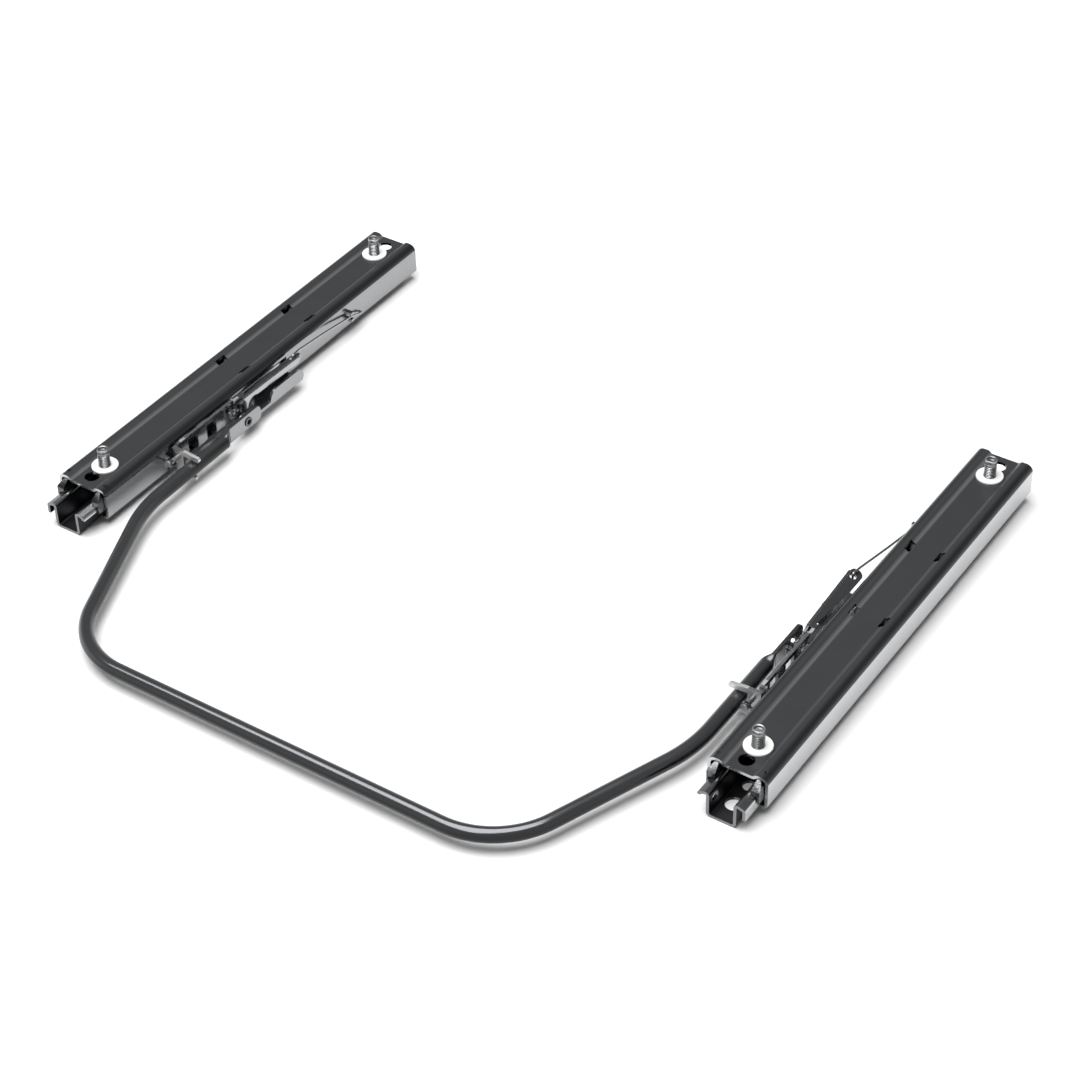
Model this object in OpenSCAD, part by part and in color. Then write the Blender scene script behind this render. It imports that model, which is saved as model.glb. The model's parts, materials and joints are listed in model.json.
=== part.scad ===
// Seat slide rails: a pair of locking tracks joined by a U-shaped release bar.
// X runs across the seat, Y to the rear and Z up. The floor is Z = 0, and the
// origin lies midway between the four floor bolts. Each rail is drawn in its
// own frame, with X pointing inboard, and placed on the left or the right.

/* [Rail pair] */
// Distance between the two rail centre lines
rail_spacing = 494; // [420:1:560]
// Length of the upper and of the lower rail
track_length = 343; // [338:1:400]
// How far the upper rail stands behind the lower rail
set_back = 18; // [10:1:28]
// Thickness of the rail sheet
sheet = 2; // [1.7:0.1:2.1]

/* [Upper rail] */
// Width over the side walls
upper_width = 40; // [39:0.5:42]
// Height of the recessed web's top above the floor
web_height = 26.5; // [26:0.1:28]
// Width of the flat web between the steps
web_flat = 19.6; // [19:0.1:20]
// Sideways run of each step from web to shoulder
step_run = 2.4; // [2:0.1:2.8]
// Height of the shoulders above the web
shoulder_rise = 1.9; // [1.6:0.1:2.4]
// Outside radius of the shoulder corners
shoulder_radius = 5; // [4:0.1:5.5]
// Height of the upper rail's lower edge above the floor
upper_edge = 5; // [4.6:0.1:5.2]
// Width of the lips turned in under the lower rail's hooks
upper_lip = 5.4; // [5:0.1:6]
// Length of the lanced windows in the steps
lance_length = 9.5; // [7:0.1:11]
// Distance of the two window rows from the upper rail's middle
lance_rows = [-15, 58]; // [-80:1:80]

/* [Lower rail] */
// Outside width of the channel
channel_width = 20; // [19:0.1:20.6]
// Height of the fold line between channel wall and flange
flange_height = 19; // [18.4:0.1:19.2]
// Fall of the flange towards its hook
flange_fall = 1.8; // [1.4:0.1:2.2]
// Width over the hooks
hook_width = 32; // [31.6:0.1:32.2]
// Height of the hooks' lower edge above the floor
hook_edge = 9; // [8.6:0.1:9.6]
// Diameter of the floor bolt holes
floor_hole = 11; // [8:0.1:13]
// Distance of the floor bolt holes from the rail's ends
floor_hole_inset = 15; // [12:0.5:24]
// Diameter of the second floor holes
pilot_hole = 8.5; // [5:0.1:10]
// Distance of the second floor holes from the rail's ends
pilot_hole_inset = 32.5; // [31:0.5:45]

/* [Rack and travel] */
// Spacing of the rack notches, and of the claws
notch_pitch = 19; // [17:0.5:20]
// Width of a rack notch
notch_width = 10.2; // [10:0.1:10.6]
// Number of rack notches
notch_count = 12; // [8:1:12]

/* [Studs and washers] */
// Distance of the seat studs from the upper rail's ends
stud_inset = 23; // [22:0.5:30]
// Diameter of the seat studs
stud_diameter = 8; // [6:0.1:10]
// Height of the studs above the washers
stud_height = 13; // [10:0.5:20]
// Diameter of the studs' heads under the web
stud_head = 14; // [12:0.5:15]
// Diameter of the nylon washers
washer_diameter = 17.8; // [16:0.1:18.8]
// Thickness of the nylon washers
washer_thickness = 1.5; // [1:0.1:2.5]
// Diameter of the spare seat holes
spare_hole = 10; // [6:0.1:11]
// Distance of the spare seat holes beyond the studs
spare_offset = 13; // [12:0.5:16]

/* [Release bar] */
// Diameter of the tube
tube_diameter = 10; // [9:0.1:10.4]
// Distance of the tube's legs from the rail centre lines
leg_inset = 37.8; // [37.4:0.1:39]
// Distance of the pivots behind the upper rail's front end
pivot_back = 124.5; // [123:0.5:127]
// Height of the pivots above the floor
pivot_height = 13.6; // [13.2:0.1:13.8]
// Distance from the pivots to the crossbar
bar_reach = 238.5; // [220:0.5:260]
// How much lower the crossbar lies than the pivots
bar_droop = 1.9; // [1.5:0.1:2.4]
// Distance from the pivots to the bend in each leg
leg_straight = 110; // [95:0.5:120]
// Inward sweep of the legs in front of that bend
leg_sweep = 21.7; // [15:0.1:26]
// Centre line radius of the bend in each leg
leg_bend_radius = 100; // [60:1:130]
// Centre line radius of the front corners
corner_radius = 56; // [40:1:70]
// Thickness of the flattened tube ends
end_thickness = 3; // [2.5:0.1:3.2]
// Height of the flattened tube ends
end_height = 12; // [10.5:0.1:12.4]
// Diameter of the pivot rivets
rivet_diameter = 6; // [5:0.1:6.4]

/* [Lock levers] */
// Diameter of the hinge pins
pin_diameter = 3.5; // [3:0.1:3.6]
// Distance of the hinge pins from the rail centre lines
pin_inset = 27; // [26.8:0.1:27.2]
// Height of the hinge pins above the floor
pin_height = 19; // [18.9:0.1:19.2]
// Thickness of the lever strip and its claws
lever_sheet = 2.1; // [1.8:0.1:2.2]
// Height of the lever strip
strip_height = 3.2; // [2.8:0.1:4]
// Width of a claw along the rail
claw_width = 9; // [8:0.1:9.2]
// Number of claws on a lever
claw_count = 3; // [2:1:3]
// Reach of the upper finger from the rail centre line
finger_reach = 44.3; // [42:0.1:47]
// Width of the tongue across its web
tongue_width = 9.6; // [8.5:0.1:9.8]
// Length of the tongue behind the rear hinge
tongue_length = 61; // [56:0.5:64]
// Upward tilt of the tongue's web
tongue_tilt = 24; // [20:1:26]
// Diameter of the return spring wire
wire_diameter = 1.6; // [1.2:0.1:1.8]

/* [Clearances] */
// Gap between sliding faces
slide_gap = 0.3; // [0.2:0.05:0.4]
// Radial gap of pins and studs in their holes
pin_fit = 0.05; // [0.02:0.01:0.1]

/* [Hidden] */
$fn = 48;
past = 1;
bend_step = 11.25;
seam = 0.03;

black_steel = "#3a3a3c";
zinc = "#c4c6c8";
bright_steel = "#d6d8da";
nylon = "#f4f4f0";

// Upper rail section
wall_out = upper_width / 2;
wall_mid = wall_out - sheet / 2;
wall_in = wall_out - sheet;
web_under = web_height - sheet;
shoulder_top = web_height + shoulder_rise;
shoulder_under = shoulder_top - sheet;
step_bend = 1.6;
lip_bend = 2;
upper_half = [
    [0, web_height - sheet / 2],
    [web_flat / 2, web_height - sheet / 2],
    [web_flat / 2 + step_run, shoulder_top - sheet / 2],
    [wall_mid, shoulder_top - sheet / 2],
    [wall_mid, upper_edge + sheet / 2],
    [wall_out - upper_lip, upper_edge + sheet / 2]
];
upper_bends = [step_bend, step_bend, shoulder_radius - sheet / 2, lip_bend];

// Lower rail section
channel_mid = (channel_width - sheet) / 2;
hook_out = hook_width / 2;
hook_mid = hook_out - sheet / 2;
flange_slope = atan2(flange_fall, hook_mid - channel_mid);
floor_bend = 2.5;
flange_bend = 1.6;
hook_bend = 1.3;
lower_half = [
    [0, sheet / 2],
    [channel_mid, sheet / 2],
    [channel_mid, flange_height - sheet / 2],
    [hook_mid, flange_height - sheet / 2 - flange_fall],
    [hook_mid, hook_edge]
];
lower_bends = [floor_bend, flange_bend, hook_bend];

// Places along the rails
lower_front = -track_length / 2;
lower_rear = track_length / 2;
upper_front = lower_front + set_back;
upper_rear = lower_rear + set_back;
front_stud_y = upper_front + stud_inset;
rear_stud_y = upper_rear - stud_inset;
pivot_y = upper_front + pivot_back;

// Lever places, all measured from the pivot of the release bar
fork_y = pivot_y - 60.2;
first_claw_y = pivot_y - 52;
front_lug_y = fork_y - 9.8;
rear_knuckle_y = pivot_y - 6;
rear_lug_y = pivot_y - 2;
tongue_y = pivot_y + 9;
fork_thickness = 2.4;
lug_thickness = 2;
lug_radius = 3.2;
fork_out = pin_inset - 5.1;
fork_top = pin_height + 5.2;
strip_out = pin_inset - 3.9;
strip_mid = strip_out + lever_sheet / 2;
strip_low = pin_height + 4;
strip_top = strip_low + strip_height;
strip_y = fork_y + 3.4;
strip_end = pivot_y + 1.5;
claw_reach = hook_out + slide_gap;
claw_bend = 4;
claw_height = hook_edge + 0.9;
window_low = upper_edge + sheet;
window_top = shoulder_top - shoulder_radius - 1.4;

// Bracket that carries the release bar, lanced out of the side wall
end_in = leg_inset - 0.2 - end_thickness;
end_out = end_in + end_thickness;
bracket_out = end_in - 0.25;
bracket_in = bracket_out - sheet;
bracket_low = upper_edge + sheet + 1.6;
bracket_top = bracket_low + 9.9;
bracket_front = pivot_y - 5;
bracket_ear = pivot_y + 28;
bracket_rear = pivot_y + 65;

// Middle line of the release bar's left half, from its pivot, in the bar's own plane
leg_x = rail_spacing / 2 - leg_inset;
corner_turn = 90 - leg_sweep;
leg_cut = leg_bend_radius * tan(leg_sweep / 2);
corner_cut = corner_radius * tan(corner_turn / 2);
leg_ahead = [sin(leg_sweep), -cos(leg_sweep), 0];
leg_vertex = [-leg_x, -leg_straight, 0];
corner_vertex = leg_vertex + leg_ahead * (bar_reach - leg_straight) / cos(leg_sweep);
bend_start = leg_vertex + [0, leg_cut, 0];
bend_end = leg_vertex + leg_ahead * leg_cut;
corner_start = corner_vertex - leg_ahead * corner_cut;
corner_end = corner_vertex + [corner_cut, 0, 0];

// Guide shoes
shoe_length = 19;
shoe_proud = 5.5;
shoe_in = channel_mid + 3.1;
skirt_in = hook_out + 0.4;
skirt_out = wall_in - 0.5;
skirt_low = hook_edge + 4;
stake_x = wall_out - 4.2;
stake_radius = 1.5;
stake_back = 5.5;

// Unit vector, and the turn from one direction to the next
function unit(v) = v / norm(v);
function turn(a, b) = atan2(a[0] * b[1] - a[1] * b[0], a[0] * b[0] + a[1] * b[1]);
function left_of(v) = [-v[1], v[0]];

// A half section mirrored into a whole one, and its bend radii
function whole(half) = concat(
    [for (i = [len(half) - 1:-1:1]) [-half[i][0], half[i][1]]],
    [for (i = [1:len(half) - 1]) half[i]]
);
function whole_bends(half) = concat([for (i = [len(half) - 1:-1:0]) half[i]], half);

// Length that a bend takes from the straight on each side of it
function bend_angle(path, i) = turn(path[i] - path[i - 1], path[i + 1] - path[i]);
function setback(path, bends, i) = bends[i - 1] * tan(abs(bend_angle(path, i)) / 2);

// Points of one face of the sheet round a bend, on the left (1) or right (-1) of the path
function bend_points(path, bends, thick, i, face) =
    let (
        before = unit(path[i] - path[i - 1]),
        bend = bend_angle(path, i),
        inward = left_of(before) * sign(bend),
        centre = path[i] - before * setback(path, bends, i) + inward * bends[i - 1],
        radius = bends[i - 1] - face * sign(bend) * thick / 2,
        start = atan2(-inward[1], -inward[0]),
        steps = ceil(abs(bend) / bend_step)
    )
    [for (k = [0:steps]) centre + radius * [cos(start + bend * k / steps), sin(start + bend * k / steps)]];

// One face of the sheet from end to end
function sheet_face(path, bends, thick, face) =
    let (
        last = len(path) - 1,
        first_side = left_of(unit(path[1] - path[0])) * face * thick / 2,
        last_side = left_of(unit(path[last] - path[last - 1])) * face * thick / 2
    )
    concat(
        [path[0] + first_side],
        [for (i = [1:last - 1]) each bend_points(path, bends, thick, i, face)],
        [path[last] + last_side]
    );

function reversed(list) = [for (i = [len(list) - 1:-1:0]) list[i]];

// Height of the flange's upper face at a distance from the rail centre
function flange_top(x) =
    flange_height - sheet / 2 + sheet / 2 / cos(flange_slope) - (x - channel_mid) * tan(flange_slope);

// Flat section of folded sheet along a path of its middle line
module folded(path, bends, thick) {
    polygon(concat(sheet_face(path, bends, thick, 1), reversed(sheet_face(path, bends, thick, -1))));
}

// Extrude a section drawn in X and Z along Y, centred on a place along the rail
module along_rail(length, middle) {
    translate([0, middle, 0]) rotate([90, 0, 0]) linear_extrude(length, center = true) children();
}

// Extrude an outline drawn in Y and Z along X, from one distance to another
module across_rail(from, to) {
    translate([from, 0, 0]) rotate([90, 0, 90]) linear_extrude(to - from) children();
}

module on_left() {
    translate([-rail_spacing / 2, 0, 0]) children();
}

module on_right() {
    translate([rail_spacing / 2, 0, 0]) mirror([1, 0, 0]) children();
}

// Outer side of a rail, for pieces drawn on its inner side
module outer_side() {
    mirror([1, 0, 0]) children();
}

// Rectangle with rounded ends, from its two end centres
module rounded_bar(from, to, radius) {
    along = unit(to - from);
    side = left_of(along) * radius;
    polygon([from + side, from - side, to - side, to + side]);
    translate(from) circle(radius);
    translate(to) circle(radius);
}

// Floor rail: a channel with out-turned hooks and, on its inner hook, the lock rack
module lower_rail() {
    slot_length = 7;
    slot_height = 6;
    slot_back = 7;
    hook_start = 21;
    color(black_steel) difference() {
        along_rail(track_length, 0) folded(whole(lower_half), whole_bends(lower_bends), sheet);
        for (end = [-1, 1]) {
            translate([0, end * (lower_rear - floor_hole_inset), -past])
                cylinder(d = floor_hole, h = sheet + 2 * past);
            translate([0, end * (lower_rear - pilot_hole_inset), -past])
                cylinder(d = pilot_hole, h = sheet + 2 * past);
        }
        across_rail(channel_mid - sheet, channel_mid + sheet)
            rounded_bar([lower_front + slot_back - (slot_length - slot_height) / 2, hook_edge + 2],
                [lower_front + slot_back + (slot_length - slot_height) / 2, hook_edge + 2], slot_height / 2);
        for (i = [0:notch_count - 1])
            translate([hook_out - 2 * sheet, first_claw_y - notch_pitch * (1 - i) - notch_width / 2, hook_edge - past])
                cube([3 * sheet, notch_width, 5.4 + past]);
        translate([hook_out - sheet - past / 2, lower_front - past, hook_edge - past])
            cube([sheet + past, hook_start + past, 5.4 + past]);
        for (side = [-1, 1])
            translate([side * shoe_stake_x(), rear_shoe_mid(), 0])
                cylinder(r = stake_radius + pin_fit, h = flange_height + past);
    }
}

// Stake of a rear shoe on the flange, and the middle of that shoe along the rail
function shoe_stake_x() = (channel_mid + hook_mid) / 2 + 1.2;
function rear_shoe_mid() = lower_rear - shoe_length / 2 - 1;

// Seat rail: an inverted channel that wraps the floor rail
module upper_rail() {
    color(black_steel) {
        difference() {
            union() {
                along_rail(track_length, set_back)
                    folded(whole(upper_half), whole_bends(upper_bends), sheet);
                hinge_lug(front_lug_y);
                hinge_lug(rear_lug_y);
            }
            for (y = [front_stud_y, rear_stud_y])
                translate([0, y, 0]) cylinder(d = stud_diameter + 2 * pin_fit, h = shoulder_top + past);
            for (y = [front_stud_y - spare_offset, rear_stud_y + spare_offset])
                translate([0, y, 0]) cylinder(d = spare_hole, h = shoulder_top + past);
            for (row = lance_rows, side = [-1, 1]) lance_window(row, side);
            for (side = [-1, 1])
                translate([side * stake_x, upper_front + stake_back, web_under - past])
                    cylinder(r = stake_radius + pin_fit, h = shoulder_rise + sheet + 2 * past);
            side_window(front_lug_y + lug_thickness + 3, rear_knuckle_y - 3);
            side_window(rear_lug_y + lug_thickness + 2, bracket_rear);
            wire_hole();
        }
        bar_bracket();
        for (row = lance_rows, side = [-1, 1]) lance_tab(row, side);
        wire_keeper();
    }
}

// Rectangular window lanced in a step of the upper rail
lance_width = 3.8;
lance_near = web_flat / 2 - 1.5;
module lance_window(row, side) {
    near = side > 0 ? lance_near : -lance_near - lance_width;
    translate([near, set_back + row - lance_length / 2, web_under - past])
        cube([lance_width, lance_length, shoulder_rise + sheet + 2 * past]);
}

// Tab left in that window, bent down from its rear edge
module lance_tab(row, side) {
    thick = 1.6;
    slope = 56;
    reach = lance_length / 2;
    side_gap = 0.3;
    near = side > 0 ? lance_near : -lance_near - lance_width;
    translate([near + side_gap, set_back + row + lance_length / 2 + 0.6, web_height - 0.3])
        rotate([slope, 0, 0]) translate([0, -reach, -thick])
            cube([lance_width - 2 * side_gap, reach, thick]);
}

// Opening in the inner side wall
module side_window(from, to) {
    translate([wall_in - past, from, window_low])
        cube([sheet + 2 * past, to - from, window_top - window_low]);
}

// Eye lanced out of the side wall to hold the lever's hinge pin
module hinge_lug(y) {
    arm_low = pin_height - 3.6;
    arm_height = 4;
    along_rail(lug_thickness, y + lug_thickness / 2) difference() {
        union() {
            translate([wall_mid, arm_low]) square([pin_inset - wall_mid, arm_height]);
            translate([pin_inset, pin_height]) circle(lug_radius);
        }
        translate([pin_inset, pin_height]) circle(pin_diameter / 2 + pin_fit);
    }
}

// Shelf and upstand that carry an end of the release bar
module bar_bracket() {
    boss = 4.4;
    low_strip = 2.4;
    shelf_front = rear_lug_y + lug_thickness + 2;
    difference() {
        union() {
            translate([wall_mid, shelf_front, bracket_low])
                cube([bracket_out - wall_mid, bracket_rear - 2 - shelf_front, sheet]);
            across_rail(bracket_in, bracket_out) {
                translate([bracket_front, bracket_low]) square([bracket_rear - 2 - bracket_front, low_strip]);
                translate([pivot_y, pivot_height]) circle(boss);
                translate([pivot_y - boss, bracket_low]) square([2 * boss, pivot_height - bracket_low]);
                ear_outline();
            }
        }
        translate([bracket_in - past, pivot_y, pivot_height]) rotate([0, 90, 0])
            cylinder(d = rivet_diameter + 2 * pin_fit, h = sheet + 2 * past);
    }
}

// Rear half of the bracket's upstand, with a long round in front and a shorter one behind
module ear_outline() {
    front_round = 9;
    rear_round = 6;
    intersection() {
        translate([bracket_ear, bracket_low])
            square([bracket_rear - bracket_ear, bracket_top - bracket_low]);
        union() {
            translate([bracket_ear + front_round, bracket_low - past])
                square([bracket_rear - bracket_ear - front_round - rear_round, bracket_top - bracket_low + 2 * past]);
            translate([bracket_ear + front_round, bracket_top - front_round]) circle(front_round);
            translate([bracket_rear - rear_round, bracket_top - rear_round]) circle(rear_round);
        }
    }
}

// Two small tabs that keep the return spring against the side wall
module wire_keeper() {
    reach = 4.2;
    length = 3;
    thick = 2;
    at = wire_path()[4];
    for (rise = [1.8, -1.8 - thick])
        translate([wall_mid, at[1] - length / 2, at[2] + rise])
            cube([wall_out - wall_mid + reach, length, thick]);
}

// Hole in the side wall for the spring's end
module wire_hole() {
    at = wire_path()[6];
    translate([wall_in - past, at[1], at[2]]) rotate([0, 90, 0])
        cylinder(d = wire_diameter + 0.6, h = sheet + 2 * past);
}

// Middle line of the return spring, from the tongue's hole to the side wall
function hole_w() = tongue_width * 0.54;
function hole_x() = pin_inset - 4 + hole_w() * cos(tongue_tilt);
function hole_y() = tongue_y + tongue_length - tongue_width / 2 - 2.4;
function web_low(x) = pin_height + 1.6 + (x - pin_inset + 4) * tan(tongue_tilt);
function wire_path() = [
    [hole_x(), hole_y(), web_low(hole_x()) - 1.6],
    [hole_x(), hole_y(), web_low(hole_x()) + 4],
    [hole_x() - 0.8, hole_y() + 8, web_low(hole_x()) + 3.7],
    [wall_out + 4.5, hole_y() + 40, pin_height + 2],
    [wall_out + 2.8, hole_y() + 73, pin_height - 3.8],
    [wall_out + 2.4, hole_y() + 86, pin_height - 8],
    [wall_in - 0.7, hole_y() + 86, pin_height - 8]
];

// Wire spring that pulls the tongue down, so that the claws drop into the rack
module return_spring() {
    path = wire_path();
    color(black_steel) {
        for (i = [0:len(path) - 2]) rod(path[i], path[i + 1], wire_diameter / 2);
        for (i = [1:len(path) - 2]) translate(path[i]) sphere(wire_diameter / 2 + seam);
    }
}

// Round rod between two points
module rod(from, to, radius) {
    span = to - from;
    translate(from) rotate([0, acos(span[2] / norm(span)), atan2(span[1], span[0])])
        cylinder(r = radius, h = norm(span));
}

// Stud that stands up through the web, with a plain neck and a cupped dog point
module stud(y) {
    head_height = 3;
    point_height = 3.4;
    point_step = 0.25;
    cup_depth = 1.8;
    neck_step = 0.2;
    seat = web_height + washer_thickness;
    top = seat + stud_height;
    color(zinc) translate([0, y, 0]) difference() {
        union() {
            translate([0, 0, web_under - head_height]) cylinder(d = stud_head, h = head_height);
            translate([0, 0, web_under]) cylinder(d = stud_diameter - 2 * neck_step, h = seat - web_under + past);
            translate([0, 0, seat]) cylinder(d = stud_diameter, h = stud_height - point_height);
            translate([0, 0, top - point_height]) cylinder(d = stud_diameter - 2 * point_step, h = point_height);
        }
        translate([0, 0, top - cup_depth])
            cylinder(d1 = stud_diameter * 0.42, d2 = stud_diameter * 0.74, h = cup_depth + past / 100);
    }
}

// Nylon washer on the web round a stud
module washer(y) {
    bore_gap = 0.2;
    color(nylon) translate([0, y, web_height]) difference() {
        cylinder(d = washer_diameter, h = washer_thickness);
        translate([0, 0, -past]) cylinder(d = stud_diameter + 2 * bore_gap, h = washer_thickness + 2 * past);
    }
}

// Section of a guide shoe: a saddle over the corner of flange and hook
module shoe_section(low_gap, top) {
    crown_in = web_flat / 2 + step_run + 0.6;
    crown_out = wall_in - 3.4;
    polygon([
        [shoe_in, flange_top(shoe_in) + low_gap],
        [skirt_in, flange_top(skirt_in) + low_gap],
        [skirt_in, skirt_low],
        [skirt_out, skirt_low],
        [skirt_out, top - 4],
        [crown_out, top],
        [crown_in, top],
        [shoe_in, top - 3.2]
    ]);
}

// Shoe staked under the front end of the upper rail, with a sloping top to its nose
module front_shoe() {
    front = upper_front - shoe_proud;
    nose_face = 3.2;
    nose_slope = 38;
    color(bright_steel) {
        difference() {
            along_rail(shoe_length, front + shoe_length / 2) shoe_section(slide_gap, shoulder_under);
            translate([0, front, flange_top(shoe_in) + nose_face]) rotate([nose_slope, 0, 0])
                translate([0, -2 * shoe_proud, 0]) cube([2 * wall_out, 4 * shoe_proud, 2 * shoe_proud]);
        }
        translate([stake_x, upper_front + stake_back, shoulder_under - shoulder_radius])
            cylinder(r = stake_radius, h = shoulder_radius + sheet - 0.5);
    }
}

// Shoe staked on the flange at the rear end of the lower rail
module rear_shoe() {
    color(bright_steel) {
        along_rail(shoe_length, rear_shoe_mid()) shoe_section(0, shoulder_under - slide_gap);
        translate([shoe_stake_x(), rear_shoe_mid(), flange_top(shoe_stake_x()) - sheet])
            cylinder(r = stake_radius, h = sheet + past);
    }
}

// Headed pin on which one end of a lock lever turns
module lever_pin(from, to) {
    overhang = 1.2;
    head = 0.8;
    head_height = 0.9;
    color(zinc) translate([pin_inset, from - overhang, pin_height]) rotate([-90, 0, 0]) {
        cylinder(d = pin_diameter, h = to - from + 2 * overhang);
        translate([0, 0, overhang - slide_gap - head_height])
            cylinder(d = pin_diameter + 2 * head, h = head_height);
    }
}

// Lock lever: a strip on edge with claws, a fork round the bar and a sprung tongue
module lock_lever() {
    neck_height = 1.9;
    neck_end = tongue_y + 2.4;
    bridge = 4;
    color(black_steel) difference() {
        union() {
            translate([fork_out, fork_y, fork_top - strip_height])
                cube([lever_sheet, 8, strip_height]);
            translate([strip_out, strip_y, strip_low])
                cube([lever_sheet, strip_end - strip_y, strip_height]);
            translate([strip_out, strip_end - past, strip_low])
                cube([lever_sheet, neck_end - strip_end + past, neck_height]);
            translate([strip_out, neck_end - bridge, strip_low])
                cube([lever_sheet + bridge, bridge, neck_height]);
            along_rail(fork_thickness, fork_y + fork_thickness / 2) fork_outline();
            along_rail(fork_thickness, rear_knuckle_y + fork_thickness / 2) knuckle_outline();
            for (i = [0:claw_count - 1])
                along_rail(claw_width, first_claw_y + i * notch_pitch) claw_section();
            tongue();
        }
        translate([pin_inset, fork_y - past, pin_height]) rotate([-90, 0, 0])
            cylinder(d = pin_diameter + 2 * pin_fit, h = rear_lug_y - fork_y);
        translate([hole_x(), hole_y(), pin_height]) cylinder(r = 2.3, h = 12);
    }
}

// Claw from the strip down and in through the side wall, towards the rack
module claw_section() {
    folded([[strip_mid, strip_low + past], [strip_mid, claw_height], [claw_reach, claw_height]],
        [claw_bend], lever_sheet);
}

// Fork plate: an upper finger over the tube and a shorter one under it
module fork_outline() {
    root_in = leg_inset - tube_diameter / 2 - 1.8;
    finger_depth = 3.7;
    finger_fall = 2;
    tip_radius = finger_depth / 2;
    low_reach = leg_inset + 2.2;
    low_bottom = 3.6;
    low_depth = 2.4;
    low_out = wall_out + 4.4;
    tip = finger_reach - tip_radius;
    fall = (tip - root_in) / (finger_reach - fork_out) * finger_fall;
    polygon([
        [fork_out, pin_height - 3.4],
        [low_out, pin_height - 6],
        [low_out, low_bottom],
        [low_reach, low_bottom],
        [low_reach, low_bottom + low_depth],
        [root_in, low_bottom + low_depth],
        [root_in, fork_top - finger_depth],
        [tip, fork_top - finger_depth - fall],
        [tip, fork_top - fall],
        [root_in, fork_top],
        [fork_out, fork_top]
    ]);
    translate([tip, fork_top - fall - tip_radius]) circle(tip_radius);
}

// Rear knuckle plate of the lever
module knuckle_outline() {
    translate([strip_out, pin_height]) square([pin_inset - strip_out, strip_top - pin_height]);
    translate([pin_inset, pin_height]) circle(lug_radius);
}

// Tongue: a tilted, tapered web with a rounded, drilled tip and a flange along its inboard edge
module tongue() {
    thick = 2;
    front_out = 3.8;
    front_in = 7;
    rear_out = 0.8;
    widest = 40;
    round_tip = (tongue_width - rear_out) / 2;
    straight = tongue_length - round_tip;
    flange_start = tongue_y - 5.5;
    flange_end = tongue_y + straight;
    flange_thick = 1.8;
    flange_low = pin_height + 2.4;
    flange_proud = 0.25;
    tab_low = pin_height - 3.2;
    arch_radius = 7;
    arch_middle = flange_start + 13.5;
    tail = 2.5;
    translate([pin_inset - 4, tongue_y, pin_height + 1.6]) rotate([0, -tongue_tilt, 0]) linear_extrude(thick) {
        polygon([
            [front_out, 0], [front_in, 0], [tongue_width, straight], [rear_out, straight], [rear_out, widest]
        ]);
        translate([(tongue_width + rear_out) / 2, straight]) circle(round_tip);
    }
    edge_x = pin_inset - 4 + tongue_width * cos(tongue_tilt);
    edge_top = web_low(edge_x) + 1.6;
    near_top = web_low(pin_inset - 4 + front_in * cos(tongue_tilt)) + 1.6;
    taper = atan2((tongue_width - front_in) * cos(tongue_tilt), straight);
    translate([edge_x, flange_end, 0]) rotate([0, 0, -taper]) translate([-edge_x, -flange_end, 0])
        across_rail(edge_x + flange_proud - flange_thick, edge_x + flange_proud) difference() {
            polygon([
                [flange_start, tab_low],
                [arch_middle, tab_low],
                [arch_middle, flange_low],
                [flange_end - tail, flange_low],
                [flange_end, flange_low + tail],
                [flange_end, edge_top],
                [tongue_y, near_top],
                [flange_start, near_top - tail]
            ]);
            translate([arch_middle, flange_low + 0.8 - arch_radius]) circle(arch_radius);
        }
}

// Release bar: one bent tube with flattened, drilled ends, drawn from its pivot axis
module release_bar() {
    color(black_steel) translate([0, pivot_y, pivot_height]) rotate([asin(bar_droop / bar_reach), 0, 0]) {
        bar_leg();
        mirror([1, 0, 0]) bar_leg();
        translate([corner_end[0] - past, -bar_reach, 0]) rotate([0, 90, 0])
            cylinder(d = tube_diameter, h = 2 * (past - corner_end[0]));
    }
}

// Left leg of the bar, from its flattened end to the start of the crossbar
module bar_leg() {
    round_end = 27;
    flat_start = 20.5;
    plate_front = -21;
    plate_rear = 13.5;
    edge = 3.5;
    rod([-leg_x, -round_end, 0], bend_start + [0, -past, 0], tube_diameter / 2);
    bent_tube(bend_start + [leg_bend_radius, 0, 0], leg_bend_radius, 180, leg_sweep);
    rod(bend_end - leg_ahead * past, corner_start + leg_ahead * past, tube_diameter / 2);
    bent_tube(corner_end + [0, corner_radius, 0], corner_radius, 180 + leg_sweep, corner_turn);
    hull() {
        translate([-leg_x, -round_end + 0.3, 0]) rotate([90, 0, 0])
            cylinder(d = tube_diameter - 0.4, h = 0.8, $fn = 32);
        translate([end_in - rail_spacing / 2, -flat_start - 0.4, -end_height / 2])
            cube([end_thickness, 0.4, end_height]);
    }
    difference() {
        across_rail(end_in - rail_spacing / 2, end_out - rail_spacing / 2) {
            translate([plate_front, -end_height / 2])
                square([plate_rear - edge - plate_front, end_height]);
            translate([plate_rear - edge - past, edge - end_height / 2])
                square([edge + past, end_height - 2 * edge]);
            for (side = [-1, 1])
                translate([plate_rear - edge, side * (end_height / 2 - edge)]) circle(edge);
        }
        translate([end_in - rail_spacing / 2 - past, 0, 0]) rotate([0, 90, 0])
            cylinder(d = rivet_diameter + 2 * pin_fit, h = end_thickness + 2 * past);
    }
}

// Part of a ring of tube in the bar's plane, a little slimmer where the bending drew it
module bent_tube(centre, radius, start, angle) {
    draw = 0.15;
    translate(centre) rotate([0, 0, start])
        rotate_extrude(angle = angle) translate([radius, 0]) circle(d = tube_diameter - 2 * draw);
}

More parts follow.
